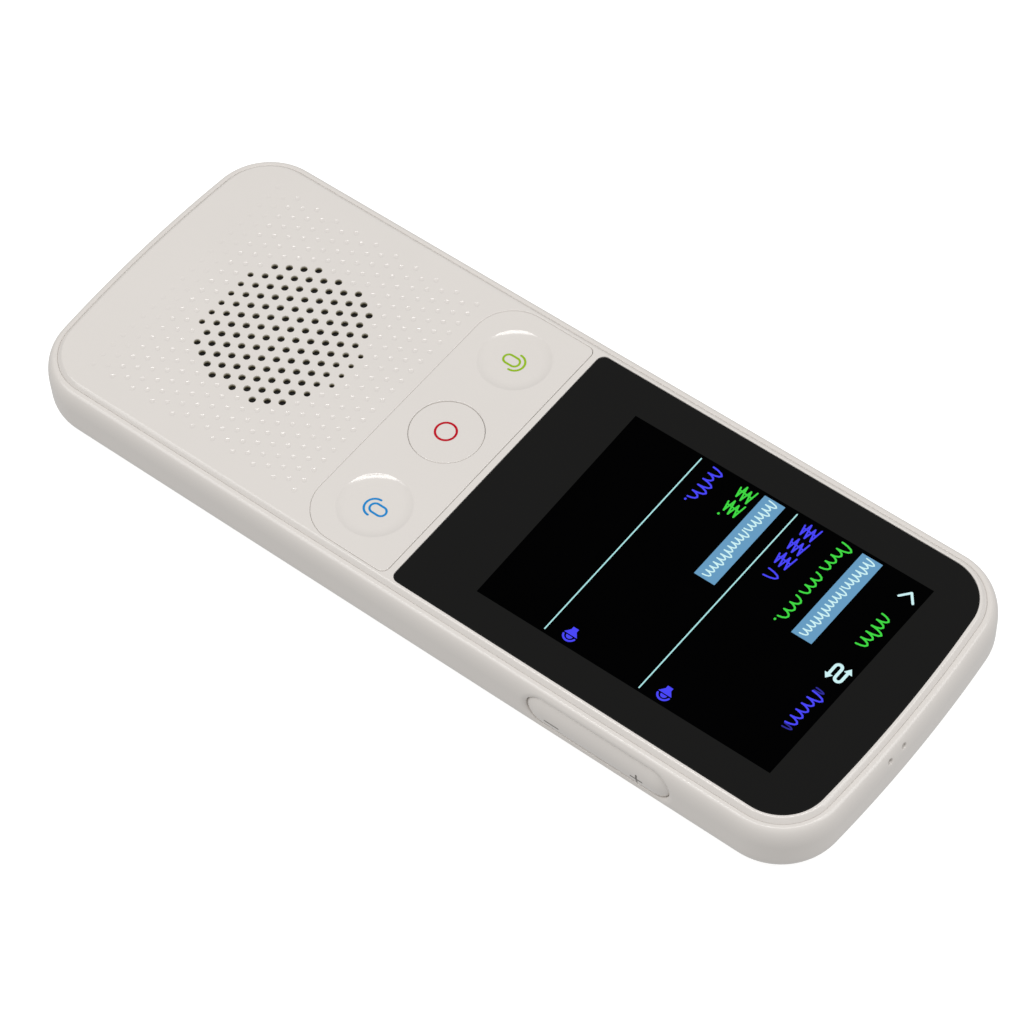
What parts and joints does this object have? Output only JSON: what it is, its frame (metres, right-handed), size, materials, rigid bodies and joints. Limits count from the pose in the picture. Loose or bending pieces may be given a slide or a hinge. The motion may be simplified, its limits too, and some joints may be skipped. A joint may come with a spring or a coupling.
{
  "type": "handheld translator",
  "caption": "Slim handheld translator with a touch screen, a rocking talk-key panel around a round centre key, a perforated loudspeaker grille and a volume rocker on its side wall.",
  "frame": {"origin": "middle of the rear case's flat back face, with the device lying on its back", "axes": "+Z out of the front face, +Y along the case towards the screen end, +X across the case towards the side wall with the volume rocker"},
  "size_m": [0.0538, 0.1378, 0.011],
  "materials": {
    "white_shell": "satin",
    "white_keys": "satin",
    "black_glass": "polished",
    "display_black": "polished",
    "backlight_white": "matte",
    "tape": "matte",
    "silicone": "matte",
    "foam_black": "matte",
    "cloth_black": "matte",
    "steel_black": "satin",
    "magnet_steel": "satin",
    "cone_black": "matte",
    "pcb_green": "satin",
    "chip_black": "matte",
    "flex_amber": "satin",
    "pouch_silver": "satin",
    "connector_cream": "matte",
    "wire_red": "satin",
    "mic_gold": "satin"
  },
  "bodies": {
    "case": {"back_case": "white_shell", "front_cover": "white_shell", "touch_glass": "black_glass", "glass_adhesive": "tape", "lcd_panel": "display_black", "backlight_unit": "backlight_white", "display_flex": "flex_amber", "display_connector": "chip_black", "key_mat": "silicone", "centre_switch": "chip_black", "left_talk_switch": "chip_black", "right_talk_switch": "chip_black", "main_board": "pcb_green", "board_screws": "magnet_steel", "shield_can": "magnet_steel", "processor_chip": "chip_black", "memory_chip": "chip_black", "radio_chip": "chip_black", "audio_chip": "chip_black", "volume_bracket": "connector_cream", "volume_board": "pcb_green", "volume_up_switch": "chip_black", "volume_down_switch": "chip_black", "volume_flex": "flex_amber", "speaker_basket": "steel_black", "speaker_magnet": "magnet_steel", "speaker_surround": "foam_black", "speaker_gasket": "foam_black", "speaker_mesh": "cloth_black", "speaker_pad": "foam_black", "speaker_leads": "wire_red", "battery": "pouch_silver", "battery_tape": "tape", "battery_connector": "connector_cream", "battery_lead": "wire_red", "microphones": "mic_gold", "mic_flex": "flex_amber", "mic_boot": "silicone", "usb_shell": "magnet_steel", "usb_tongue": "chip_black", "charge_board": "pcb_green", "charge_connector": "chip_black", "charge_flex": "flex_amber", "antenna": "flex_amber"},
    "key_panel": {"key_panel": "white_keys"},
    "centre_key": {"centre_key": "white_keys"},
    "volume_rocker": {"volume_rocker": "white_keys"},
    "speaker_cone": {"speaker_cone": "cone_black"}
  },
  "joints": [
    {"name": "talk_keys_rock", "type": "hinge", "parent": "case", "child": "key_panel", "pos_m": [0, -0.011, 0.00975], "axis": [0, 1, 0], "range_deg": [-0.9, 0.9], "stiffness_Nm_per_rad": 1.2},
    {"name": "centre_key_press", "type": "slide", "parent": "case", "child": "centre_key", "axis": [0, 0, -1], "range_m": [0, 0.0003], "stiffness_N_per_m": 4000},
    {"name": "volume_rock", "type": "hinge", "parent": "case", "child": "volume_rocker", "pos_m": [0.0241, 0.0353, 0.006], "axis": [0, 0, 1], "range_deg": [-1.3, 1.3], "stiffness_Nm_per_rad": 0.4},
    {"name": "cone_travel", "type": "slide", "parent": "case", "child": "speaker_cone", "axis": [0, 0, 1], "range_m": [-0.0003, 0.0003], "stiffness_N_per_m": 1800}
  ]
}
